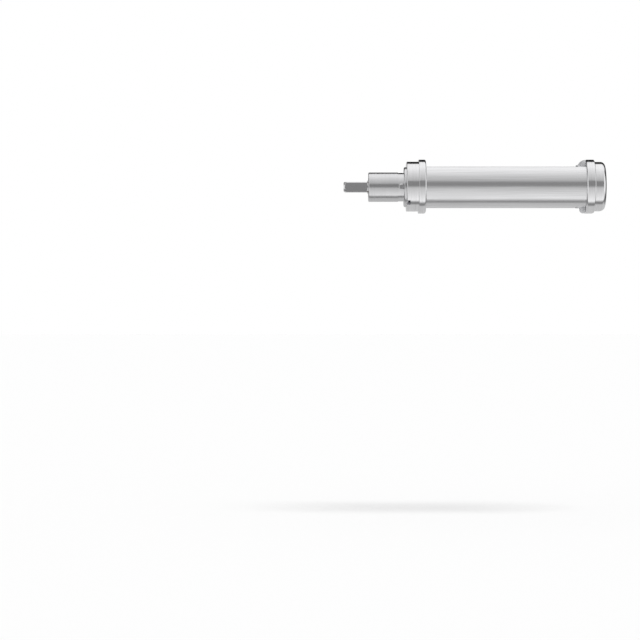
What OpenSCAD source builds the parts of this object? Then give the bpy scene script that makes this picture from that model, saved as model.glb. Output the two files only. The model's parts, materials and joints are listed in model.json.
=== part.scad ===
// Hub-driven noodle cutter: two interleaved cutting rollers in a sheet-steel body, turned by
// the power hub of a stand mixer. Millimetres.
// X runs along the rollers from the hub shank to the gear end, Y from front to back, Z up.
// The origin is on the drive axis, at the flange face that stops against the mixer's hub.
// A sheet of dough goes in from above, and the noodles come out below.

/* [Noodles and cutting rollers] */
// Width of one noodle, which is half the pitch of the cutting discs
noodle_w = 1.75; // [1.6:0.05:2.1]
// Number of cutting discs on each roller
disc_count = 40; // [24:1:44]
// Radius of the cutting discs
disc_r = 10; // [9.6:0.1:10.4]
// Radius of a roller at the bottom of its grooves
core_r = 7; // [6.6:0.1:7.4]
// How far the discs of one roller reach in between the discs of the other
disc_overlap = 2; // [1.7:0.1:2.3]
// Gap on each side of a disc in the other roller's groove
disc_side_gap = 0.1; // [0.06:0.01:0.16]
// Radius of the rollers' journals
journal_r = 5; // [4.6:0.1:5.2]
// Space between a roller's end and the frame beside it
end_play = 0.25; // [0.2:0.05:0.4]

/* [Covers] */
// Outer radius of the front and rear covers
cover_r = 20.8; // [20.4:0.1:21.6]
// Thickness of the covers' sheet steel
cover_t = 0.8; // [0.6:0.1:1]
// Inner radius of the rolled lips along the covers' edges
lip_r = 0.9; // [0.7:0.1:1.2]
// How far round a lip is rolled, in degrees
lip_turn = 110; // [80:5:140]
// Height of the covers' top edges above the roller axes
cover_top_z = 17.7; // [17.2:0.1:18.6]
// Depth of the covers' bottom edges below the roller axes
cover_bottom_z = 19.35; // [18.4:0.05:19.4]
// How far the covers' ends reach into the rings of the end caps
cover_tuck = 1.5; // [1:0.1:2]

/* [End caps] */
// Half the distance between the centres of the body's two round sides
half_gap = 5.3; // [5:0.1:6]
// Space round the covers' ends inside the rings
cover_gap = 0.6; // [0.4:0.1:0.9]
// Wall of the rings
ring_wall = 3.4; // [3.1:0.1:3.8]
// Wall of the drive end cap's drum
drive_drum_wall = 1.5; // [1.3:0.1:2]
// Wall of the gear end cap's drum
gear_drum_wall = 1.3; // [1.2:0.1:1.8]
// Width of the drive end cap's ring
drive_ring_w = 6.6; // [6.2:0.1:7.4]
// Width of the gear end cap's ring
gear_ring_w = 8.2; // [7.4:0.1:9]
// Width of the drive end cap's drum
drive_drum_w = 11.2; // [10.6:0.1:12]
// Width of the gear end cap's drum
gear_drum_w = 10.1; // [9.8:0.1:12]
// Rounding of the rings' edges beside the covers
ring_mouth_round = 1.4; // [1:0.1:1.8]
// Rounding of the drive end cap's ring beside its drum
drive_ring_round = 0.3; // [0.2:0.1:0.6]
// Rounding of the gear end cap's ring beside its drum
gear_ring_round = 0.9; // [0.5:0.1:1.2]
// Rounding of the drive end cap's outer edge
drive_cap_round = 0.7; // [0.5:0.1:1.2]
// Rounding of the gear end cap's outer edge
gear_cap_round = 4; // [3:0.1:4.4]
// Thickness of the drive end cap's end wall
drive_end_wall = 3; // [2.6:0.1:3.4]
// Thickness of the gear end cap's end wall
gear_end_wall = 2.4; // [2:0.1:2.6]

/* [Side frames] */
// Thickness of the drive side frame
drive_web_t = 6; // [5.6:0.1:6.4]
// Thickness of the gear side frame's rim behind the cover ends
gear_rim_t = 2; // [1.6:0.1:2.4]
// Width of the gear side frame between the rollers and the ring
gear_land_w = 7.2; // [6.6:0.1:8]
// Thickness of the gear side frame's cheek at the feed slot
feed_cheek_t = 5.4; // [5:0.1:6.4]
// Thickness of the same cheek at the outlet
outlet_cheek_t = 3.6; // [3.2:0.1:4.4]
// Outer radius of the cheek at the feed slot
feed_cheek_r = 24.4; // [23.8:0.1:24.7]
// Outer radius of the cheek at the outlet
outlet_cheek_r = 24.6; // [24:0.1:24.7]
// Rounding of the cheek at the feed slot, over which the dough slides
feed_cheek_round = 5.2; // [4:0.1:5.4]
// Rounding of the cheek at the outlet
outlet_cheek_round = 2.8; // [1.5:0.1:3.2]
// Gap between the cheeks and the covers' lips
cheek_gap = 0.25; // [0.2:0.05:0.4]
// Gap between the frames and the caps and covers that fit round them
frame_fit = 0.05; // [0.03:0.01:0.08]

/* [Hub shank] */
// Radius of the shank that goes into the mixer's hub
shank_r = 13.7; // [13.4:0.1:14.2]
// Length of the shank
shank_l = 33; // [30:0.5:36]
// Radius of the bore through the shank, which is the outer radius of its bush
shank_bore_r = 8.5; // [8.3:0.1:8.7]
// Radius of the flange that stops against the hub
flange_r = 18.6; // [18:0.1:19.4]
// Thickness of the flange
flange_t = 2.2; // [1.8:0.1:2.8]
// Rounding of the flange's edge
flange_round = 1.2; // [0.6:0.1:1.3]
// Radius of the spigot behind the flange, which centres the shank in the end cap
spigot_r = 9.3; // [9.1:0.1:9.5]
// Length of the spigot
spigot_l = 2; // [1.5:0.1:2.4]
// Width of the neck between the shank and the flange, where the locating pin stands
neck_w = 5.4; // [5:0.1:6.4]
// How much smaller in radius the neck is than the shank
neck_step = 0.4; // [0.2:0.1:0.6]
// Radius of the locating pin, which goes into the hub's notch
locating_pin_r = 2.4; // [2:0.1:2.6]
// How far the locating pin stands out of the shank
locating_pin_out = 3.4; // [2.6:0.1:4]
// Depth of the slot across the flange that the locating pin lies over
pin_slot_depth = 0.5; // [0.3:0.1:0.8]
// Mouth radius of the cone for the hub's thumb screw
dimple_r = 4; // [3:0.1:4.4]
// Distance of the cone's centre from the flange face
dimple_x = 16; // [14:0.5:18]

/* [Drive shaft] */
// Width across the flats of the square that the mixer turns
square_w = 9.5; // [9:0.1:10]
// Width across the square's rounded corners
square_corners = 12.4; // [11.8:0.1:12.8]
// Length of the square
square_l = 22; // [18:0.5:25]
// Radius of the shaft in its bush
shaft_r = 6; // [5.6:0.1:6.3]
// Radius of the spigot that plugs into the drive roller
plug_r = 3; // [2.7:0.1:3.2]
// Length of that spigot
plug_l = 14; // [12:0.5:16]
// Length of the shank's bush
shank_bush_l = 14; // [11:0.5:16]
// Width of the collar that bears against the shank's bush
collar_w = 1.6; // [1.2:0.1:2]
// Radius of that collar
collar_r = 8; // [7.4:0.1:8.1]
// Radius of the cross pin through the roller's journal and the shaft
cross_pin_r = 1.25; // [1:0.05:1.4]

/* [Bushes and gears] */
// Wall of the roller bushes
bush_wall = 2; // [1.6:0.1:2.2]
// Radius of the bushes' flanges
bush_flange_r = 8.4; // [8:0.1:8.7]
// Thickness of the bushes' flanges
bush_flange_t = 1.2; // [1:0.1:1.5]
// Radial running clearance of every journal in its bush
running_gap = 0.04; // [0.02:0.01:0.08]
// Teeth of each gear
gear_teeth = 18; // [18:1:20]
// Width of the gears
gear_w = 6; // [5:0.1:6.4]
// Play taken off the thickness of each gear tooth
gear_backlash = 0.12; // [0.08:0.01:0.16]
// Thickness of the washers between the frame and the gears
washer_t = 0.6; // [0.5:0.05:0.8]
// Outer radius of those washers
washer_r = 7.4; // [6.8:0.1:7.6]
// Width of the gear keys
key_w = 3; // [2.5:0.1:3.4]
// Depth of the keyways in the journals, and about half the height of the keys
keyway_depth = 1.3; // [1.1:0.1:1.5]
// Thickness of the retaining clips
clip_t = 0.8; // [0.6:0.1:1]
// Radial width of the retaining clips
clip_w = 2; // [1.7:0.1:2.2]

/* [Combs] */
// Height of the combs' bars
comb_bar_h = 4; // [3.4:0.1:4.2]
// Depth of the combs' bars from front to back
comb_bar_w = 7.4; // [6.4:0.1:8]
// Distance of the bars from the plane between the rollers
comb_outlet = 4.6; // [4:0.1:5.2]
// Gap between the combs and the rollers
comb_gap = 0.3; // [0.2:0.05:0.5]
// Gap between the discs and the combs' bars
comb_bar_gap = 1.2; // [0.8:0.1:1.4]
// Gap on each side of a finger in its groove
finger_side_gap = 0.2; // [0.15:0.05:0.3]
// How far the combs' ends reach into the frames
comb_tab = 2.5; // [2:0.1:3]

/* [Tie rods and screws] */
// Radius of the tie rods
rod_r = 2.25; // [2.1:0.05:2.4]
// Gap between the tie rods and the covers
rod_cover_gap = 0.9; // [0.7:0.1:1.1]
// Angle of the tie rods above and below the roller axes, in degrees
rod_angle = 43.5; // [40:0.5:45]
// Depth of the rods' sockets in the frames
rod_socket = 1.5; // [1:0.1:2]
// Radius of the screws' threads
screw_r = 1.5; // [1.25:0.05:1.5]
// Radius of the screws' heads
screw_head_r = 2.75; // [2.5:0.05:2.8]
// Height of the screws' heads
screw_head_h = 2; // [1.6:0.1:2.2]
// How far the screws reach into what they fasten
screw_grip = 7; // [5:0.5:8]
// Width across the flats of the screws' hexagon sockets
hex_w = 2; // [1.8:0.1:2.2]
// Width of the screwdriver channel in the drive end cap's edge
channel_w = 5.2; // [4.6:0.1:5.6]
// Depth of the screw recesses in the end caps
recess_depth = 3.2; // [2.8:0.1:3.6]
// Gap between a screw and the hole that it passes through
screw_gap = 0.1; // [0.05:0.01:0.15]

/* [Hidden] */
$fn = 96;

steel = [0.80, 0.80, 0.81];
cast_grey = [0.62, 0.63, 0.65];
dark_steel = [0.42, 0.43, 0.45];
bronze = [0.72, 0.52, 0.30];
nylon = [0.86, 0.86, 0.84];

slip = 0.02; // radial gap of pins, plugs and screws in the holes that hold them
seat_gap = 0.1; // gap along X between pieces that stop against each other
over = 1; // how far a cut runs past the face that it opens

// The rollers
axis_gap = 2 * disc_r - disc_overlap;
mid_y = -axis_gap / 2;
disc_pitch = 2 * noodle_w;
disc_w = noodle_w - disc_side_gap;
cut_l = disc_count * disc_pitch;
rear_disc_x = disc_side_gap / 2; // from the cut's start to the rear roller's first disc
front_disc_x = rear_disc_x + noodle_w; // the same on the front roller, half a pitch on
clip_groove = 0.5; // depth of the clip grooves in the journals
key_play = 0.4; // the keys are this much shorter than the gears

// Stations along X, from the hub to the gear end
drive_ring_x = flange_t + drive_drum_w;
drive_face_x = drive_ring_x + drive_ring_w;
drive_web_x = drive_face_x - drive_web_t;
roller_x = drive_face_x + end_play;
gear_face_x = roller_x + cut_l + end_play;
gear_ring_x = gear_face_x + gear_land_w;
gear_web_x = gear_ring_x + cover_tuck + seat_gap + gear_rim_t;
washer_gap = 0.1; // play on each side of the gears and their washers
gear_x = gear_web_x + washer_t + 2 * washer_gap;
clip_x = gear_x + gear_w + washer_gap;
journal_tail = 1.2; // what is left of a journal beyond its clip
journal_end_x = clip_x + clip_t + washer_gap + journal_tail;
gear_drum_x = gear_ring_x + gear_ring_w;
gear_cap_end_x = gear_drum_x + gear_drum_w;

// The body's section
cover_in_r = cover_r - cover_t;
cavity_r = cover_r + cover_gap;
drive_drum_r = cavity_r + drive_drum_wall;
gear_drum_r = cavity_r + gear_drum_wall;
ring_r = cavity_r + ring_wall;
cover_mid_r = cover_r - cover_t / 2;
lip_t = cover_t - 0.1; // the sheet is a little thinner where it is rolled
lip_lap = 10; // degrees by which a lip starts inside the sheet, so that they are one piece
lip_out_r = lip_r + lip_t;
lip_mid_r = lip_r + lip_t / 2;
lip_rho = cover_mid_r - lip_mid_r;
function lip_angle(edge_z) = asin((edge_z - lip_out_r) / lip_rho);
function lip_reach(edge_z) = // the lip's nearest approach to the plane between the rollers
    half_gap + lip_rho * cos(lip_angle(edge_z)) - lip_out_r;

// Tie rods and the screws at their ends
rod_rho = cover_in_r - rod_cover_gap - rod_r;
function rod_spot(depth, height) =
    [mid_y + depth * (half_gap + rod_rho * cos(rod_angle)), height * rod_rho * sin(rod_angle)];
front = -1;
rear = 1;
upper = 1;
lower = -1;
cap_screw_spots = [[front, lower], [rear, upper]];
frame_screw_spots = [[front, upper], [rear, lower]];
column_wall = 0.7; // wall round a screw's head in its column
column_r = screw_head_r + column_wall;
hub_screw_angles = [90, 210, 330];
neck_r = shank_r - neck_step;
hub_screw_r = (spigot_r + neck_r) / 2;

// The joint between the drive shaft and the rear roller's journal
journal_out = 7; // how far the journal stands out of the drive side frame
cross_pin_edge = 3; // from the journal's end to the cross pin's centre
journal_in_x = drive_web_x - journal_out;
cross_pin_x = journal_in_x + cross_pin_edge;

// ---- Helpers ----

module xcyl(r, x0, x1) {
    translate([x0, 0, 0])
        rotate([0, 90, 0])
            cylinder(r = r, h = x1 - x0);
}

// A round cut on the X axis, from the face at x into the piece: dir is the way that it goes
module socket(r, x, dir, depth) {
    mouth = x - dir * over;
    end = x + dir * depth;
    xcyl(r, min(mouth, end), max(mouth, end));
}

// Extrudes a section drawn in (Y, Z) along X
module along_x(x0, x1) {
    translate([x0, 0, 0])
        rotate([90, 0, 90])
            linear_extrude(x1 - x0)
                children();
}

// Turns a profile drawn in (radius, X) round the X axis
module turned() {
    rotate([0, 90, 0])
        rotate_extrude()
            children();
}

// Takes a profile drawn in (radius, X) round the body's oval: two half turns and a straight part
module racetrack() {
    translate([0, mid_y, 0])
        rotate([0, 90, 0]) {
            translate([0, half_gap, 0])
                rotate_extrude(angle = 180)
                    children();
            translate([0, -half_gap, 0])
                rotate([0, 0, 180])
                    rotate_extrude(angle = 180)
                        children();
            rotate([90, 0, 0])
                linear_extrude(2 * half_gap, center = true) {
                    children();
                    mirror([1, 0])
                        children();
                }
        }
}

// Half profile of a solid block, with rounded edges at its low and high ends
module block_profile(r, x0, x1, round_low = 0, round_high = 0) {
    intersection() {
        translate([0, x0])
            square([r, x1 - x0]);
        union() {
            if (x1 - x0 > round_low + round_high)
                translate([0, x0 + round_low])
                    square([r, x1 - x0 - round_low - round_high]);
            if (round_low > 0) {
                translate([0, x0])
                    square([r - round_low, round_low]);
                translate([r - round_low, x0 + round_low])
                    circle(round_low);
            }
            if (round_high > 0) {
                translate([0, x1 - round_high])
                    square([r - round_high, round_high]);
                translate([r - round_high, x1 - round_high])
                    circle(round_high);
            }
        }
    }
}

// Puts its children at a tie rod's place
module at_rod(spot) {
    place = rod_spot(spot[0], spot[1]);
    translate([0, place[0], place[1]])
        children();
}

// Points outward from the body's centre at a tie rod
module facing_out(spot) {
    angle = spot[0] == rear ? spot[1] * rod_angle : 180 - spot[1] * rod_angle;
    rotate([angle, 0, 0])
        children();
}

module on_front_axis() {
    translate([0, -axis_gap, 0])
        children();
}

// Mirrors a piece of the rear half to the front half
module front_half() {
    translate([0, 2 * mid_y, 0])
        mirror([0, 1, 0])
            children();
}

// ---- Covers ----

// A sector of a ring of sheet, from one angle to the other round its centre
module sheet_arc(in_r, out_r, from, to) {
    reach = 4 * out_r;
    steps = ceil((to - from) / 45);
    intersection() {
        difference() {
            circle(out_r);
            circle(in_r);
        }
        polygon([[0, 0], for (i = [0:steps]) let (a = from + (to - from) * i / steps)
            reach * [cos(a), sin(a)]]);
    }
}

// The rear cover's section in (Y, Z), with a rolled lip at its top and bottom edges
module cover_section() {
    top = lip_angle(cover_top_z);
    bottom = lip_angle(cover_bottom_z);
    translate([mid_y + half_gap, 0]) {
        sheet_arc(cover_in_r, cover_r, -bottom, top);
        rotate(top)
            translate([lip_rho, 0])
                sheet_arc(lip_r, lip_out_r, -lip_lap, lip_turn);
        rotate(-bottom)
            translate([lip_rho, 0])
                mirror([0, 1])
                    sheet_arc(lip_r, lip_out_r, -lip_lap, lip_turn);
    }
}

module rear_cover() {
    color(steel)
        along_x(drive_face_x - cover_tuck, gear_ring_x + cover_tuck)
            cover_section();
}

module front_cover() {
    color(steel)
        front_half()
            rear_cover();
}

// ---- End caps ----

// The column that carries a cap screw, joined to the cap's wall by a slightly lower rib
module screw_column(spot, x0, x1) {
    rib_w = 1.4 * column_r;
    rib_step = 0.5;
    rib_lap = gear_drum_wall / 2;
    at_rod(spot) {
        xcyl(column_r, x0, x1);
        facing_out(spot)
            translate([x0 + rib_step, 0, -rib_w / 2])
                cube([x1 - x0 - 2 * rib_step, cavity_r - rod_rho + rib_lap, rib_w]);
    }
}

module drive_end_cap() {
    end_x = flange_t;
    wall_x = end_x + drive_end_wall;
    color(steel)
        difference() {
            union() {
                racetrack()
                    block_profile(drive_drum_r, end_x, drive_ring_x + over, drive_cap_round);
                racetrack()
                    block_profile(ring_r, drive_ring_x, drive_face_x, drive_ring_round,
                        ring_mouth_round);
            }
            difference() {
                racetrack()
                    block_profile(cavity_r, wall_x, drive_face_x + over);
                for (spot = cap_screw_spots)
                    screw_column(spot, end_x, drive_web_x);
            }
            xcyl(spigot_r + slip, end_x - over, wall_x + over);
            for (a = hub_screw_angles)
                rotate([a, 0, 0])
                    translate([0, hub_screw_r, 0])
                        xcyl(screw_r + screw_gap, end_x - over, wall_x + over);
            for (spot = cap_screw_spots)
                at_rod(spot) {
                    xcyl(screw_r + screw_gap, end_x, drive_web_x + over);
                    socket(screw_head_r + screw_gap * 2, end_x, 1, recess_depth);
                    facing_out(spot)
                        translate([end_x - over, 0, -channel_w / 2])
                            cube([recess_depth + over, ring_r, channel_w]);
                }
        }
}

module gear_end_cap() {
    inner_round = gear_cap_round - gear_end_wall;
    color(steel)
        difference() {
            union() {
                racetrack()
                    block_profile(ring_r, gear_ring_x, gear_drum_x, ring_mouth_round,
                        gear_ring_round);
                racetrack()
                    block_profile(gear_drum_r, gear_drum_x - over, gear_cap_end_x, 0,
                        gear_cap_round);
            }
            difference() {
                racetrack()
                    block_profile(cavity_r, gear_ring_x - over, gear_cap_end_x - gear_end_wall, 0,
                        inner_round);
                for (spot = cap_screw_spots)
                    screw_column(spot, gear_web_x, gear_cap_end_x);
            }
            for (spot = cap_screw_spots)
                at_rod(spot) {
                    xcyl(screw_r + screw_gap, gear_web_x - over, gear_cap_end_x);
                    socket(screw_head_r + screw_gap * 2, gear_cap_end_x, -1, recess_depth);
                }
        }
}

// ---- Side frames ----

// What both frames have cut into their slot faces: x is the face, dir points into the frame
module slot_face_cuts(x, dir) {
    mouth = x - dir * over;
    pocket_end = x + dir * (comb_tab + end_play + seat_gap);
    for (depth = [front, rear], height = [upper, lower])
        at_rod([depth, height])
            socket(rod_r + slip, x, dir, rod_socket);
    for (flip = [0, 1])
        translate([0, flip * 2 * mid_y, 0])
            mirror([0, flip, 0])
                along_x(min(mouth, pocket_end), max(mouth, pocket_end))
                    comb_bar_section(seat_gap);
}

// Channels along the frames' corners, which the covers' lips lie in
module lip_channels(x0, x1) {
    for (depth = [front, rear], height = [upper, lower])
        let (a = lip_angle(height == upper ? cover_top_z : cover_bottom_z))
        translate([0, mid_y + depth * (half_gap + lip_rho * cos(a)), height * lip_rho * sin(a)])
            xcyl(lip_out_r + cheek_gap, x0, x1);
}

// Seats of the two flanged bushes, whose flanges lie in the slot face
module bush_seats(x, dir, far_x) {
    for (y = [0, -axis_gap])
        translate([0, y, 0]) {
            xcyl(journal_r + bush_wall + slip, min(x, far_x) - over, max(x, far_x) + over);
            socket(bush_flange_r + slip, x, dir, bush_flange_t);
        }
}

module drive_side_frame() {
    rim_x = drive_face_x - cover_tuck - seat_gap;
    color(cast_grey)
        difference() {
            union() {
                racetrack()
                    block_profile(cavity_r - frame_fit, drive_web_x, rim_x);
                racetrack()
                    block_profile(cover_in_r - frame_fit, drive_web_x, drive_face_x);
            }
            slot_face_cuts(drive_face_x, -1);
            lip_channels(rim_x, drive_face_x + over);
            bush_seats(drive_face_x, -1, drive_web_x);
            for (depth = [front, rear], height = [upper, lower])
                at_rod([depth, height])
                    xcyl(screw_r + screw_gap, drive_web_x - over, drive_face_x);
        }
}

// The cheek that fills the gap between the covers' lips, drawn above the axes for the feed slot
module cheek(r, thickness, edge_round, edge_z) {
    half_w = lip_reach(edge_z) - cheek_gap;
    intersection() {
        racetrack()
            block_profile(r, gear_ring_x - thickness, gear_ring_x - seat_gap, edge_round);
        translate([gear_face_x, mid_y - half_w, 0])
            cube([gear_land_w, 2 * half_w, r + over]);
    }
}

module gear_side_frame() {
    rim_x = gear_ring_x + cover_tuck + seat_gap;
    color(cast_grey)
        difference() {
            union() {
                racetrack()
                    block_profile(cover_in_r - frame_fit, gear_face_x, gear_web_x);
                racetrack()
                    block_profile(cavity_r - frame_fit, rim_x, gear_web_x);
                cheek(feed_cheek_r, feed_cheek_t, feed_cheek_round, cover_top_z);
                mirror([0, 0, 1])
                    cheek(outlet_cheek_r, outlet_cheek_t, outlet_cheek_round, cover_bottom_z);
            }
            slot_face_cuts(gear_face_x, 1);
            lip_channels(gear_face_x - over, rim_x);
            bush_seats(gear_face_x, 1, gear_web_x);
            for (depth = [front, rear], height = [upper, lower])
                at_rod([depth, height])
                    xcyl(screw_r + screw_gap, gear_face_x, gear_web_x + over);
        }
}

// ---- Hub shank ----

module hub_shank() {
    dimple_depth = 0.7 * dimple_r;
    dimple_floor_r = 0.3 * dimple_r;
    shank_round = 1;
    pin_slot_w = 2 * (locating_pin_r + 2 * seat_gap);
    color(steel)
        difference() {
            turned()
                difference() {
                    union() {
                        block_profile(shank_r, -shank_l, -neck_w, shank_round);
                        block_profile(neck_r, -neck_w - over, over);
                        block_profile(flange_r, 0, flange_t, flange_round);
                        block_profile(spigot_r, over / 2, flange_t + spigot_l);
                    }
                    translate([0, -shank_l - over])
                        square([shank_bore_r + slip, shank_l + flange_t + spigot_l + 2 * over]);
                }
            for (a = hub_screw_angles)
                rotate([a, 0, 0])
                    translate([0, hub_screw_r, 0])
                        xcyl(screw_r + slip, flange_t - screw_grip - seat_gap, flange_t + over);
            translate([-locating_pin_r - seat_gap, 0, 0])
                rotate([90, 0, 0])
                    cylinder(r = locating_pin_r + slip, h = shank_r + over);
            translate([-over, -flange_r - over, -pin_slot_w / 2])
                cube([pin_slot_depth + over, flange_r - neck_r + 2 * over, pin_slot_w]);
            translate([-dimple_x, shank_r - dimple_depth, 0])
                rotate([-90, 0, 0])
                    cylinder(r1 = dimple_floor_r, r2 = dimple_r, h = dimple_depth);
        }
}

module locating_pin() {
    chamfer = 0.6;
    inner_end = shank_bore_r + chamfer;
    shoulder = shank_r + locating_pin_out - inner_end - chamfer;
    color(steel)
        translate([-locating_pin_r - seat_gap, -inner_end, 0])
            rotate([90, 0, 0])
                union() {
                    cylinder(r = locating_pin_r, h = shoulder);
                    translate([0, 0, shoulder])
                        cylinder(r1 = locating_pin_r, r2 = locating_pin_r - chamfer, h = chamfer);
                }
}

module shank_bush() {
    color(bronze)
        difference() {
            xcyl(shank_bore_r, -shank_l + 1, -shank_l + 1 + shank_bush_l);
            xcyl(shaft_r + running_gap, -shank_l, -shank_l + 2 + shank_bush_l);
        }
}

// ---- Combs ----

// The rear comb's bar in (Y, Z), made larger by grow for the pockets in the frames
module comb_bar_section(grow = 0) {
    translate([mid_y + comb_outlet - grow, -disc_r - comb_bar_gap - comb_bar_h - grow])
        square([comb_bar_w + 2 * grow, comb_bar_h + 2 * grow]);
}

// A finger that hugs the bottom of a groove, from its tip below the nip down to the bar
module finger_section() {
    bar_top = -disc_r - comb_bar_gap;
    hug_r = core_r + comb_gap;
    tip_angle = 219; // in degrees: just below the place where the discs stop overlapping
    tip = (hug_r + 0.05) * [cos(tip_angle), sin(tip_angle)];
    root = bar_top - 1; // a little way down inside the bar
    back_z = -0.78 * core_r;
    inner_y = mid_y + comb_outlet;
    outer_y = inner_y + comb_bar_w;
    difference() {
        polygon([tip, [inner_y, bar_top], [inner_y, root], [outer_y, root], [outer_y, back_z]]);
        circle(hug_r);
    }
}

// The rear comb has its fingers in the rear roller's grooves, half a pitch from the front ones
module comb(first_groove_x) {
    groove_w = disc_pitch - disc_w;
    finger_w = groove_w - 2 * finger_side_gap;
    color(nylon)
        union() {
            along_x(drive_face_x - comb_tab, gear_face_x + comb_tab)
                comb_bar_section();
            for (i = [0:disc_count - 2])
                along_x(first_groove_x + i * disc_pitch + finger_side_gap,
                        first_groove_x + i * disc_pitch + finger_side_gap + finger_w)
                    finger_section();
        }
}

module rear_comb() {
    comb(roller_x + rear_disc_x + disc_w);
}

module front_comb() {
    front_half()
        comb(roller_x + front_disc_x + disc_w);
}

// ---- Tie rods ----

module tie_rod(depth, height) {
    x0 = drive_face_x - rod_socket + seat_gap / 2;
    x1 = gear_face_x + rod_socket - seat_gap / 2;
    color(steel)
        at_rod([depth, height])
            difference() {
                xcyl(rod_r, x0, x1);
                socket(screw_r + slip, x0, 1, screw_grip + 1);
                socket(screw_r + slip, x1, -1, screw_grip + 1);
            }
}

module front_upper_tie_rod() tie_rod(front, upper);
module front_lower_tie_rod() tie_rod(front, lower);
module rear_upper_tie_rod() tie_rod(rear, upper);
module rear_lower_tie_rod() tie_rod(rear, lower);

// ---- Screws ----

// A cheese-head screw on the X axis: its head's seat is at x, and dir is the way it points
module screw(x, dir, length) {
    hex_depth = 0.6 * screw_head_h;
    translate([x, 0, 0])
        rotate([0, 90 * dir, 0])
            difference() {
                union() {
                    cylinder(r = screw_r, h = length);
                    translate([0, 0, -screw_head_h])
                        cylinder(r = screw_head_r, h = screw_head_h);
                }
                translate([0, 0, -screw_head_h - over])
                    cylinder(d = hex_w / cos(30), h = hex_depth + over, $fn = 6);
            }
}

module hub_screws() {
    color(dark_steel)
        for (a = hub_screw_angles)
            rotate([a, 0, 0])
                translate([0, hub_screw_r, 0])
                    screw(flange_t + drive_end_wall, -1, drive_end_wall + screw_grip);
}

module rod_screws(spots, head_x, dir, tip_x) {
    color(dark_steel)
        for (spot = spots)
            at_rod(spot)
                screw(head_x, dir, abs(tip_x - head_x));
}

module drive_cap_screws() {
    rod_screws(cap_screw_spots, flange_t + recess_depth, 1, drive_face_x - rod_socket + screw_grip);
}

module drive_frame_screws() {
    rod_screws(frame_screw_spots, drive_web_x, 1, drive_face_x - rod_socket + screw_grip);
}

module gear_cap_screws() {
    rod_screws(cap_screw_spots, gear_cap_end_x - recess_depth, -1,
        gear_face_x + rod_socket - screw_grip);
}

module gear_frame_screws() {
    rod_screws(frame_screw_spots, gear_web_x, -1, gear_face_x + rod_socket - screw_grip);
}

// ---- Bushes ----

// A flanged bush on the drive axis, from its flange in the slot face at x to far_x
module roller_bush(x, dir, far_x) {
    color(bronze)
        difference() {
            union() {
                xcyl(journal_r + bush_wall, min(x, far_x), max(x, far_x));
                xcyl(bush_flange_r, min(x, x + dir * (bush_flange_t - slip)),
                    max(x, x + dir * (bush_flange_t - slip)));
            }
            xcyl(journal_r + running_gap, min(x, far_x) - over, max(x, far_x) + over);
        }
}

module drive_side_rear_bush() roller_bush(drive_face_x, -1, drive_web_x);
module drive_side_front_bush() on_front_axis() roller_bush(drive_face_x, -1, drive_web_x);
module gear_side_rear_bush() roller_bush(gear_face_x, 1, gear_web_x);
module gear_side_front_bush() on_front_axis() roller_bush(gear_face_x, 1, gear_web_x);

// ---- Cutting rollers ----

// A roller turned from one bar: journals, grooved middle, key seat and clip groove
module cutting_roller(disc_x, drive_end_x) {
    chamfer = 0.4;
    groove_r = journal_r - clip_groove;
    groove_x0 = clip_x - washer_gap / 2;
    groove_x1 = clip_x + clip_t + washer_gap / 2;
    color(steel)
        difference() {
            turned()
                polygon([[0, drive_end_x], [journal_r - chamfer, drive_end_x],
                    [journal_r, drive_end_x + chamfer], [journal_r, roller_x], [core_r, roller_x],
                    for (i = [0:disc_count - 1]) let (x = roller_x + disc_x + i * disc_pitch)
                        each [[core_r, x], [disc_r, x], [disc_r, x + disc_w], [core_r, x + disc_w]],
                    [core_r, roller_x + cut_l], [journal_r, roller_x + cut_l],
                    [journal_r, groove_x0], [groove_r, groove_x0],
                    [groove_r, groove_x1], [journal_r, groove_x1],
                    [journal_r, journal_end_x - chamfer], [journal_r - chamfer, journal_end_x],
                    [0, journal_end_x]]);
            translate([gear_x - slip, -key_w / 2 - slip, journal_r - keyway_depth])
                cube([gear_w + slip - key_play, key_w + 2 * slip, keyway_depth + over]);
        }
}

module rear_cutting_roller() {
    difference() {
        cutting_roller(rear_disc_x, journal_in_x);
        color(steel) {
            socket(plug_r + slip, journal_in_x, 1, plug_l + 1);
            translate([cross_pin_x, 0, 0])
                cylinder(r = cross_pin_r + slip, h = 4 * journal_r, center = true);
        }
    }
}

module front_cutting_roller() {
    on_front_axis()
        cutting_roller(front_disc_x, drive_web_x + seat_gap);
}

// ---- Drive shaft ----

module drive_shaft() {
    shoulder_x = journal_in_x - seat_gap;
    collar_x = -shank_l + 1 + shank_bush_l + seat_gap;
    square_x = -shank_l - 1;
    end_x = square_x - square_l;
    lead = 3; // length of the square's tapered end
    lead_r = 0.42 * square_w;
    color(steel)
        difference() {
            union() {
                xcyl(plug_r, shoulder_x - 1, journal_in_x + plug_l);
                xcyl(shaft_r, square_x, shoulder_x);
                xcyl(collar_r, collar_x, collar_x + collar_w);
                intersection() {
                    translate([end_x, -square_w / 2, -square_w / 2])
                        cube([square_l + 1, square_w, square_w]);
                    turned()
                        polygon([[0, end_x], [lead_r, end_x], [square_corners / 2, end_x + lead],
                            [square_corners / 2, square_x], [shaft_r, square_x + 1],
                            [0, square_x + 1]]);
                }
            }
            translate([cross_pin_x, 0, 0])
                cylinder(r = cross_pin_r + slip, h = 4 * journal_r, center = true);
        }
}

module drive_shaft_pin() {
    color(dark_steel)
        translate([cross_pin_x, 0, 0])
            cylinder(r = cross_pin_r, h = 2 * journal_r + 1, center = true);
}

// ---- Gears ----

function involute(a) = tan(a) * 180 / PI - a;

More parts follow.
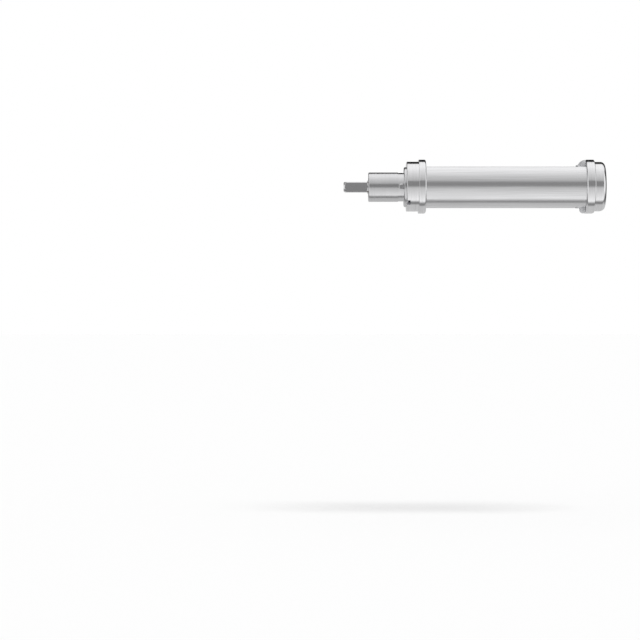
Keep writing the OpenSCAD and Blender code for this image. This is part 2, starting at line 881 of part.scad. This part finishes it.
// An involute spur gear whose pitch circle is half the gap between the rollers
module gear_section(turn) {
    pressure = 20;
    pitch_r = axis_gap / 2;
    gear_module = axis_gap / gear_teeth;
    base_r = pitch_r * cos(pressure);
    tip_r = pitch_r + gear_module;
    root_r = pitch_r - 1.25 * gear_module;
    steps = 6;
    half = 90 / gear_teeth - gear_backlash / 2 / pitch_r * 180 / PI + involute(pressure);
    flank = [for (i = [0:steps]) let (r = base_r + (tip_r - base_r) * i / steps)
        [r, half - involute(acos(min(1, base_r / r)))]];
    rotate(turn)
        difference() {
            polygon([for (i = [0:gear_teeth - 1]) let (a = i * 360 / gear_teeth)
                each concat([root_r * [cos(a - flank[0][1]), sin(a - flank[0][1])]],
                    [for (p = flank) p[0] * [cos(a - p[1]), sin(a - p[1])]],
                    [for (j = [steps:-1:0]) flank[j][0] * [cos(a + flank[j][1]), sin(a + flank[j][1])]],
                    [root_r * [cos(a + flank[0][1]), sin(a + flank[0][1])]])]);
            circle(journal_r + slip);
        }
}

module gear(turn) {
    key_cut = keyway_depth + slip;
    color(dark_steel)
        difference() {
            along_x(gear_x, gear_x + gear_w)
                gear_section(turn);
            translate([gear_x - over, -key_w / 2 - slip, 0])
                cube([gear_w + 2 * over, key_w + 2 * slip, journal_r + key_cut]);
        }
}

module gear_key() {
    color(dark_steel)
        translate([gear_x, -key_w / 2, journal_r - keyway_depth + slip])
            cube([gear_w - key_play - slip, key_w, 2 * keyway_depth - 2 * slip]);
}

module gear_washer() {
    color(bronze)
        difference() {
            xcyl(washer_r, gear_web_x + washer_gap, gear_web_x + washer_gap + washer_t);
            xcyl(journal_r + running_gap, gear_web_x, gear_x);
        }
}

// An open clip with two eyes, in the groove near the end of a journal
module gear_clip() {
    inner_r = journal_r - clip_groove + slip;
    outer_r = inner_r + clip_w;
    opening = 40; // in degrees
    eye_r = 0.55 * clip_w;
    eye_hole_r = 0.45 * eye_r;
    eye_rho = outer_r - 0.4 * eye_r;
    eye_turn = opening / 2 + 12;
    color(dark_steel)
        along_x(clip_x, clip_x + clip_t)
            difference() {
                union() {
                    difference() {
                        circle(outer_r);
                        polygon([[0, 0], 2 * outer_r * [cos(90 - opening / 2), sin(90 - opening / 2)],
                            2 * outer_r * [cos(90 + opening / 2), sin(90 + opening / 2)]]);
                    }
                    for (side = [-1, 1])
                        rotate(side * eye_turn)
                            translate([0, eye_rho])
                                circle(eye_r);
                }
                circle(inner_r);
                for (side = [-1, 1])
                    rotate(side * eye_turn)
                        translate([0, eye_rho])
                            circle(eye_hole_r);
            }
}

module drive_gear() gear(0);
module drive_gear_key() gear_key();
module drive_gear_washer() gear_washer();
module drive_gear_clip() gear_clip();
module driven_gear() on_front_axis() gear(180 / gear_teeth);
module driven_gear_key() on_front_axis() gear_key();
module driven_gear_washer() on_front_axis() gear_washer();
module driven_gear_clip() on_front_axis() gear_clip();

front_cover();
rear_cover();
drive_end_cap();
gear_end_cap();
drive_side_frame();
gear_side_frame();
hub_shank();
locating_pin();
shank_bush();
front_comb();
rear_comb();
front_upper_tie_rod();
front_lower_tie_rod();
rear_upper_tie_rod();
rear_lower_tie_rod();
drive_side_front_bush();
drive_side_rear_bush();
gear_side_front_bush();
gear_side_rear_bush();
hub_screws();
drive_cap_screws();
gear_cap_screws();
drive_frame_screws();
gear_frame_screws();
rear_cutting_roller();
drive_shaft();
drive_shaft_pin();
drive_gear();
drive_gear_key();
drive_gear_washer();
drive_gear_clip();
front_cutting_roller();
driven_gear();
driven_gear_key();
driven_gear_washer();
driven_gear_clip();
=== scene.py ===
"""Looks for the noodle cutter: finishes for its metal, bronze and nylon parts, a pale studio and the
photograph's camera. Lengths are in metres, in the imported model's frame: X along the rollers from the hub
shank to the gear end, Y from front to back, Z up."""

import json
import math

import bpy
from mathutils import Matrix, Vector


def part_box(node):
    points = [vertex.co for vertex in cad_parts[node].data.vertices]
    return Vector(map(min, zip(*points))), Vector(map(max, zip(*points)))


# The photograph's framing. Its picture is PICTURE_PX wide and high.
PICTURE_PX = 640
METRES_PER_PX = 0.00093
STOP_FACE_PX = 403.9  # where the flange face that stops against the hub is, across the picture
DRIVE_AXIS_PX = 186.7  # how far down the picture the drive axis is
CAMERA_DISTANCE = 2.4  # from the plane between the rollers
CAMERA_REACH = 100
SENSOR_WIDTH_MM = 36

FLOOR_DROP = 0.303  # the floor is this far below the drive axis, as under a mixer
FLOOR_SIZE = 60
FLOOR_WHITE = 0.93

# The studio as metal sees it: plain panels, each with where it starts and ends and how bright it is at
# those edges. Directions go round the X axis in degrees: 0 is level to the front, 90 straight up, 180
# level to the back and 270 straight down. Between two panels the light runs evenly from one to the other.
WHITE = 1.0
DIM = 0.25
STUDIO = [
    (0, 20, DIM, DIM),  # the dark end of the studio, behind the camera
    (25, 90, 0.5, WHITE),  # a softbox overhead, brighter towards its far edge
    (95, 125, WHITE, WHITE),  # the white ceiling beyond it
    (130, 160, 0, 0),  # a black flag behind the part
    (170, 260, 0.6, 0.6),  # the backdrop
    (268, 278, DIM, DIM),  # the dark gap between the backdrop and the table
    (290, 350, WHITE, 0.6),  # the white table in front, falling off towards the camera
    (360, 360, DIM, DIM),  # and back to the dark end
]
# To the sides, round the Z axis from 0 in front to 180 behind
SIDE_PANELS = [
    (0, 86, WHITE, WHITE),  # white panels in the front half
    (92, 130, 0.05, 0.05),  # black flags just behind the part, which draw its outline
    (140, 180, DIM, DIM),  # the dark back of the studio
]
SIDES_FROM = (0.6, 0.76)  # how far off the plane across the rollers the side panels start
CEILING = WHITE
CEILING_FROM = (0.68, 0.82)  # the height that the side panels reach
GROUND = DIM
GROUND_FROM = (-0.3, -0.75)  # the height that they come down to
DIFFUSE_LEVEL = 0.74  # the room's light on everything that isn't metal
SUN_STRENGTH = 1.07
SUN_SPREAD = 25  # degrees
SUN_TILT = (12, 14)  # degrees round X and Y

NOISE_RANGE = (0.3, 0.7)  # where nearly all of a noise's values are
STREAKS_SHARE = 0.6  # the streaks' part in a metal's finish, of which the patches have the rest
CAP_END_FROM = (0.6, 0.95)  # how squarely a cap's face looks along X when it starts to be an end, and is one
RING_PITCH = 0.00035  # between the rings that a lathe leaves
RING_WAVER = 25  # how fast the rings change on their way round
NYLON_SCATTER = (0.002, 0.002, 0.0018)  # how far each colour of light goes into nylon

# ---- Nodes ----


def grey(level):
    return (level, level, level, 1)


class Shader:
    """A short way to write a node tree."""

    def __init__(self, tree):
        self.tree = tree

    def add(self, kind, values=None, **settings):
        node = self.tree.nodes.new(kind)
        for name, value in settings.items():
            setattr(node, name, value)
        for name, value in (values or {}).items():
            self.put(node.inputs[name], value)
        return node

    def put(self, socket, value):
        if isinstance(value, bpy.types.NodeSocket):
            self.tree.links.new(value, socket)
        else:
            socket.default_value = value

    def math(self, operation, a, b=0.0, c=0.0):
        node = self.add("ShaderNodeMath", operation=operation)
        for socket, value in zip(node.inputs, (a, b, c)):
            self.put(socket, value)
        return node.outputs[0]

    def vector(self, x, y, z):
        return self.add("ShaderNodeCombineXYZ", {"X": x, "Y": y, "Z": z}).outputs[0]

    def scaled(self, vector, scale):
        node = self.add("ShaderNodeVectorMath", operation="MULTIPLY")
        self.put(node.inputs[0], vector)
        self.put(node.inputs[1], scale)
        return node.outputs[0]

    def noise(self, vector, scale=1.0, detail=3.0):
        values = {"Vector": vector, "Scale": scale, "Detail": detail}
        return self.add("ShaderNodeTexNoise", values).outputs["Fac"]

    def ranged(self, value, low, high, from_low=0.0, from_high=1.0):
        values = {"Value": value, "From Min": from_low, "From Max": from_high}
        values.update({"To Min": low, "To Max": high})
        return self.add("ShaderNodeMapRange", values).outputs["Result"]

    def blend(self, amount, color_a, color_b):
        node = self.add("ShaderNodeMix", data_type="RGBA")
        self.put(node.inputs["Factor"], amount)
        self.put(node.inputs["A"], color_a)
        self.put(node.inputs["B"], color_b)
        return node.outputs["Result"]

    def shade(self, color, amount):
        """The colour made lighter or darker by a factor."""
        node = self.add("ShaderNodeMix", data_type="RGBA", blend_type="MULTIPLY")
        self.put(node.inputs["Factor"], 1.0)
        self.put(node.inputs["A"], (*color, 1))
        self.put(node.inputs["B"], amount)
        return node.outputs["Result"]

    def turns(self, up, along):
        """The angle of a direction, in turns."""
        return self.math("DIVIDE", self.math("ARCTAN2", up, along), 2 * math.pi)

    def ramp(self, value, panels):
        """The panels' greys by an angle, whose value is in turns."""
        node = self.add("ShaderNodeValToRGB", {"Fac": value})
        stops = node.color_ramp.elements
        while len(stops) > 1:
            stops.remove(stops[0])
        edges = []
        for start, end, level_at_start, level_at_end in panels:
            edges += [(start / 360, level_at_start), (end / 360, level_at_end)]
        for index, (position, level) in enumerate(edges):
            stop = stops[0] if index == 0 else stops.new(position)
            stop.position = position
            stop.color = grey(level)
        return node.outputs["Color"]

    def bump(self, height, distance):
        values = {"Height": height, "Distance": distance}
        return self.add("ShaderNodeBump", values).outputs["Normal"]

    def place(self):
        """A point's place on its part, which stays put when the part moves."""
        return self.add("ShaderNodeTexCoord").outputs["Object"]

    def round_x(self):
        """The direction round the X axis, which stretches a brushed metal's highlights."""
        return self.add("ShaderNodeTangent", direction_type="RADIAL", axis="X").outputs["Tangent"]


def new_material(name, **sockets):
    """A Principled material; the shader's own sockets are set by name, with _ for a space."""
    material = bpy.data.materials.new(name)
    material.use_nodes = True
    shader = Shader(material.node_tree)
    surface = material.node_tree.nodes["Principled BSDF"]
    for socket, value in sockets.items():
        surface.inputs[socket.replace("_", " ")].default_value = value
    return material, shader, surface


def finish_metal(s, surface, streaks, patches, color, rough, color_swing, bump_depth):
    """Colour, roughness and relief from fine streaks and larger, fainter patches. rough is the lowest
    and the highest roughness, and color_swing how much lighter and darker than color the metal gets."""
    low, high = rough
    patches_part = s.math("MULTIPLY", patches, 1 - STREAKS_SHARE)
    mixed = s.math("MULTIPLY_ADD", streaks, STREAKS_SHARE, patches_part)
    shades = s.ranged(mixed, 1 + color_swing, 1 - color_swing, *NOISE_RANGE)
    s.put(surface.inputs["Base Color"], s.shade(color, shades))
    s.put(surface.inputs["Roughness"], s.ranged(mixed, low, high, *NOISE_RANGE))
    s.put(surface.inputs["Normal"], s.bump(streaks, bump_depth))


# ---- Materials ----


def cover_steel():
    """Stainless sheet, brushed along the rollers."""
    material, s, surface = new_material("cover_steel", Metallic=1.0, Anisotropic=0.35)
    place = s.place()
    streaks = s.noise(s.scaled(place, (25, 2600, 2600)))
    patches = s.noise(s.scaled(place, (12, 700, 700)))
    look = {"color": (0.83, 0.83, 0.84), "rough": (0.14, 0.28), "color_swing": 0.09, "bump_depth": 1.2e-5}
    finish_metal(s, surface, streaks, patches, **look)
    s.put(surface.inputs["Tangent"], s.round_x())
    return material


def cap_steel():
    """Pressed steel caps, polished brighter than the covers: brushed round their sides, and straight
    across their ends."""
    material, s, surface = new_material("cap_steel", Metallic=1.0, Anisotropic=0.3)
    surface.inputs["Anisotropic Rotation"].default_value = 0.25
    place = s.place()
    normal = s.add("ShaderNodeTexCoord").outputs["Normal"]
    facing = s.math("ABSOLUTE", s.add("ShaderNodeSeparateXYZ", {"Vector": normal}).outputs["X"])
    at_end = s.ranged(facing, 0, 1, *CAP_END_FROM)
    along = 30  # how fine the brushing is along its strokes
    layers = []
    for across in (2400, 650):  # how fine the streaks and the patches are across them
        on_side = s.noise(s.scaled(place, (across, along, along)))
        on_end = s.noise(s.scaled(place, (along, along, across)))
        values = {"Factor": at_end, "A": on_side, "B": on_end}
        layers.append(s.add("ShaderNodeMix", values).outputs["Result"])
    look = {"color": (0.85, 0.85, 0.86), "rough": (0.09, 0.2), "color_swing": 0.09, "bump_depth": 1e-5}
    finish_metal(s, surface, *layers, **look)
    s.put(surface.inputs["Tangent"], s.round_x())
    return material


def frame_casting():
    """Die-cast frames with a fine satin grain."""
    material, s, surface = new_material("frame_casting", Metallic=0.5)
    place = s.place()
    grain = s.noise(place, scale=2200)
    patches = s.noise(place, scale=160)
    look = {"color": (0.71, 0.715, 0.73), "rough": (0.46, 0.62), "color_swing": 0.07, "bump_depth": 1.6e-5}
    finish_metal(s, surface, grain, patches, **look)
    return material


def turned_steel(name, color, rough, center_y=0.0):
    """Steel turned on a lathe: fine rings round the part's own axis, which is at center_y."""
    material, s, surface = new_material(name, Metallic=1.0)
    parts = s.add("ShaderNodeSeparateXYZ", {"Vector": s.place()})
    aside = s.math("SUBTRACT", parts.outputs["Y"], center_y)
    height = parts.outputs["Z"]
    squares = s.math("ADD", s.math("MULTIPLY", aside, aside), s.math("MULTIPLY", height, height))
    radius = s.math("SQRT", squares)
    across = s.math("DIVIDE", s.math("ADD", parts.outputs["X"], radius), RING_PITCH)
    round_about = [s.math("MULTIPLY", part, RING_WAVER) for part in (aside, height)]
    rings = s.noise(s.vector(across, *round_about))
    patches = s.noise(s.place(), scale=120)
    finish_metal(s, surface, rings, patches, color, rough, color_swing=0.04, bump_depth=3e-6)
    return material


def drawn_rod():
    """Bright drawn bar, with faint lines along it."""
    material, s, surface = new_material("rod_steel", Metallic=1.0)
    place = s.place()
    lines = s.noise(s.scaled(place, (40, 3200, 3200)), detail=2)
    patches = s.noise(place, scale=90, detail=2)
    look = {"color": (0.66, 0.66, 0.68), "rough": (0.2, 0.32), "color_swing": 0.05, "bump_depth": 3e-6}
    finish_metal(s, surface, lines, patches, **look)
    return material


def comb_nylon():
    """Off-white moulded nylon with a faint spark-eroded texture."""
    material, s, surface = new_material("comb_nylon", Metallic=0.0, IOR=1.53)
    surface.inputs["Subsurface Weight"].default_value = 0.08
    surface.inputs["Subsurface Radius"].default_value = NYLON_SCATTER
    place = s.place()
    texture = s.noise(place, scale=2600, detail=2)
    patches = s.noise(place, scale=110)
    tint = s.ranged(patches, 0.95, 1.05)
    s.put(surface.inputs["Base Color"], s.shade((0.80, 0.79, 0.75), tint))
    s.put(surface.inputs["Roughness"], s.ranged(texture, 0.42, 0.58))
    s.put(surface.inputs["Normal"], s.bump(texture, 1e-5))
    return material


def bush_bronze():
    """Sintered bronze, darker where oil fills its pores."""
    material, s, surface = new_material("bush_bronze", Metallic=1.0)
    place = s.place()
    pores = s.noise(place, scale=3800)
    patches = s.noise(place, scale=240)
    look = {"color": (0.66, 0.46, 0.27), "rough": (0.3, 0.46), "color_swing": 0.14, "bump_depth": 1.2e-5}
    finish_metal(s, surface, pores, patches, **look)
    return material


def gear_steel():
    """Hobbed steel with a film of oil."""
    material, s, surface = new_material("gear_steel", Metallic=1.0)
    surface.inputs["Coat Weight"].default_value = 0.5
    surface.inputs["Coat Roughness"].default_value = 0.12
    place = s.place()
    cuts = s.noise(s.scaled(place, (2600, 260, 260)))
    patches = s.noise(place, scale=300)
    look = {"color": (0.42, 0.42, 0.44), "rough": (0.26, 0.42), "color_swing": 0.1, "bump_depth": 5e-6}
    finish_metal(s, surface, cuts, patches, **look)
    return material


def fastener_steel():
    """Dark zinc on the screws, clips and the cross pin."""
    material, s, surface = new_material("fastener_steel", Metallic=1.0)
    place = s.place()
    grain = s.noise(place, scale=3000)
    patches = s.noise(place, scale=420)
    look = {"color": (0.30, 0.30, 0.32), "rough": (0.28, 0.45), "color_swing": 0.12, "bump_depth": 6e-6}
    finish_metal(s, surface, grain, patches, **look)
    return material


def dress(frame, mid_y):
    """Gives every CAD node the material of its slot. The front roller has its own, because its axis is
    as far in front of mid_y as the others' is behind it."""
    roller = {"color": (0.68, 0.68, 0.70), "rough": (0.2, 0.3)}
    by_slot = {
        "cover_steel": cover_steel(),
        "cap_steel": cap_steel(),
        "frame_casting": frame_casting(),
        "shank_steel": turned_steel("shank_steel", (0.74, 0.74, 0.75), (0.16, 0.26)),
        "roller_steel": turned_steel("roller_steel", **roller),
        "rod_steel": drawn_rod(),
        "comb_nylon": comb_nylon(),
        "bush_bronze": bush_bronze(),
        "gear_steel": gear_steel(),
        "fastener_steel": fastener_steel(),
    }
    front_roller = turned_steel("front_roller_steel", **roller, center_y=2 * mid_y)
    for part in frame["record"]["subparts"]:
        name = part["node"]
        material = front_roller if name == "front_cutting_roller" else by_slot[part["material_slot"]]
        for slot in frame["nodes"][name].material_slots:
            slot.material = material


# ---- The studio ----


def light_room():
    """White to the camera, plain on everything that isn't metal, and a studio of panels to metal."""
    world = bpy.data.worlds.new("studio")
    bpy.context.scene.world = world
    world.use_nodes = True
    world.node_tree.nodes.clear()
    s = Shader(world.node_tree)
    direction = s.add("ShaderNodeTexCoord").outputs["Generated"]
    parts = s.add("ShaderNodeSeparateXYZ", {"Vector": direction})
    ahead = s.math("MULTIPLY", parts.outputs["Y"], -1)
    height = parts.outputs["Z"]
    aside = s.math("ABSOLUTE", parts.outputs["X"])
    around = s.ramp(s.math("FRACT", s.turns(height, ahead)), STUDIO)
    sides = s.ramp(s.turns(aside, ahead), SIDE_PANELS)
    sides = s.blend(s.ranged(height, 0, 1, *CEILING_FROM), sides, grey(CEILING))
    sides = s.blend(s.ranged(height, 0, 1, *GROUND_FROM), sides, grey(GROUND))
    panels = s.blend(s.ranged(aside, 0, 1, *SIDES_FROM), around, sides)

    rays = s.add("ShaderNodeLightPath").outputs
    metal_looks = s.math("MAXIMUM", rays["Is Glossy Ray"], rays["Is Transmission Ray"])
    to_metal = s.blend(metal_looks, grey(DIFFUSE_LEVEL), panels)
    to_camera = s.blend(rays["Is Camera Ray"], to_metal, grey(1))
    background = s.add("ShaderNodeBackground", {"Color": to_camera})
    output = s.add("ShaderNodeOutputWorld")
    s.put(output.inputs["Surface"], background.outputs["Background"])


def add_sun():
    """A wide, soft sun, which whitens the floor and leaves the part's soft shadow on it."""
    lamp = bpy.data.lights.new("sun", "SUN")
    lamp.energy = SUN_STRENGTH
    lamp.angle = math.radians(SUN_SPREAD)
    sun = bpy.data.objects.new("sun", lamp)
    sun.rotation_euler = [math.radians(tilt) for tilt in (*SUN_TILT, 0)]
    sun.visible_glossy = False
    bpy.context.scene.collection.objects.link(sun)


def add_floor():
    """A white floor that shows the part's shadow. Metal looks through it, to the room's own table."""
    half = FLOOR_SIZE / 2
    corners = [(-half, -half), (half, -half), (half, half), (-half, half)]
    mesh = bpy.data.meshes.new("floor")
    mesh.from_pydata([(x, y, -FLOOR_DROP) for x, y in corners], [], [(0, 1, 2, 3)])
    floor = bpy.data.objects.new("floor", mesh)
    bpy.context.scene.collection.objects.link(floor)
    material = bpy.data.materials.new("white_floor")
    material.use_nodes = True
    material.node_tree.nodes.clear()
    s = Shader(material.node_tree)
    paper = s.add("ShaderNodeBsdfDiffuse", {"Color": grey(FLOOR_WHITE)})
    clear = s.add("ShaderNodeBsdfTransparent")
    rays = s.add("ShaderNodeLightPath").outputs
    mixed = s.add("ShaderNodeMixShader")
    s.put(mixed.inputs[0], s.math("MAXIMUM", rays["Is Glossy Ray"], rays["Is Transmission Ray"]))
    s.put(mixed.inputs[1], paper.outputs[0])
    s.put(mixed.inputs[2], clear.outputs[0])
    output = s.add("ShaderNodeOutputMaterial")
    s.put(output.inputs["Surface"], mixed.outputs[0])
    mesh.materials.append(material)


def add_camera(mid_y):
    """A level camera, square to the rollers, that frames the part as the photograph does."""
    camera = bpy.data.cameras.new("camera")
    camera.sensor_width = SENSOR_WIDTH_MM
    camera.lens = SENSOR_WIDTH_MM * CAMERA_DISTANCE / (PICTURE_PX * METRES_PER_PX)
    camera.clip_end = CAMERA_REACH
    viewer = bpy.data.objects.new("camera", camera)
    middle = PICTURE_PX / 2
    viewer.location = (
        (middle - STOP_FACE_PX) * METRES_PER_PX,
        mid_y - CAMERA_DISTANCE,
        (DRIVE_AXIS_PX - middle) * METRES_PER_PX,
    )
    viewer.rotation_euler = (math.radians(90), 0, 0)
    bpy.context.scene.collection.objects.link(viewer)
    bpy.context.scene.camera = viewer


# ---- The scene ----

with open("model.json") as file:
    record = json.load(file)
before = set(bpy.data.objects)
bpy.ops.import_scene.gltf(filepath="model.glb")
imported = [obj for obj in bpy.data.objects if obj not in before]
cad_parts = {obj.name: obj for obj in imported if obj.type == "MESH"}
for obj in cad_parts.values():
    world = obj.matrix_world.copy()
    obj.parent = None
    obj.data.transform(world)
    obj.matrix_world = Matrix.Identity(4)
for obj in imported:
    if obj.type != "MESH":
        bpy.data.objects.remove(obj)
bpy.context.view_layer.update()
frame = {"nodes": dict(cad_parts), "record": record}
cap_low, cap_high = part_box("drive_end_cap")
mid_y = (cap_low.y + cap_high.y) / 2  # the plane between the rollers

bpy.context.scene.view_settings.view_transform = "Standard"
dress(frame, mid_y)
light_room()
add_sun()
add_floor()
add_camera(mid_y)
